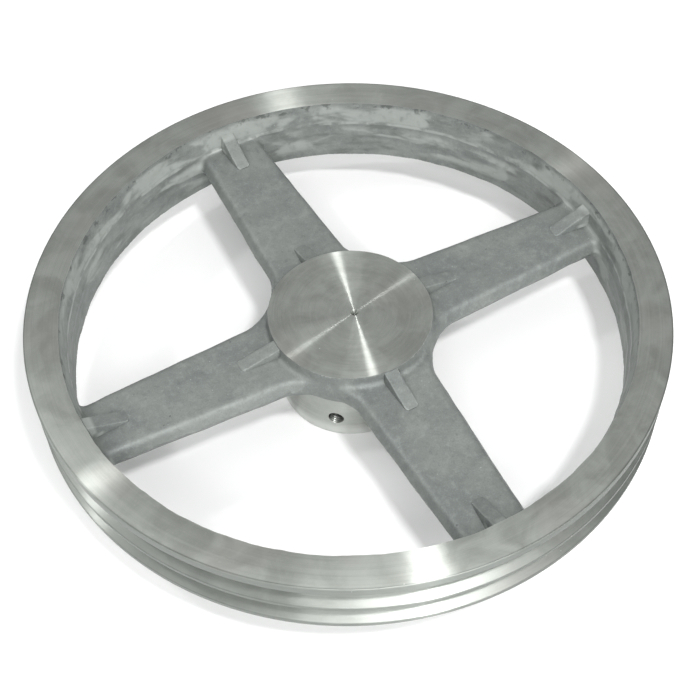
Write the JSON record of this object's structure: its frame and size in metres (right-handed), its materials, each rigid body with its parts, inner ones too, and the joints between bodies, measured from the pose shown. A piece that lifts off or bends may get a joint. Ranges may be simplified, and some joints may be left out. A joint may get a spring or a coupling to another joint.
{
  "type": "v belt pulley",
  "caption": "Large V-belt pulley with a two-groove rim, four flat tapered arms with wedge ribs, and a solid hub with a blind shaft bore and a socket set screw.",
  "frame": {"origin": "centre of the boss's bottom end, on the shaft bore's axis", "axes": "+Z along the pulley's axis, from the boss's end to the rim's turned ring; +X along one arm, +Y along the next"},
  "size_m": [0.33, 0.33, 0.0635],
  "materials": {
    "cast_aluminium": "sand-cast arms and inside wall, turned rim, hub face and boss",
    "black_steel": "black oxide with an oily sheen"
  },
  "bodies": {
    "pulley": {"pulley_casting": "cast_aluminium"},
    "screw": {"set_screw": "black_steel"}
  },
  "joints": [
    {"name": "set_screw_travel", "type": "slide", "parent": "pulley", "child": "screw", "axis": [-0.6561, -0.7547, 0], "range_m": [0, 0.018]}
  ]
}
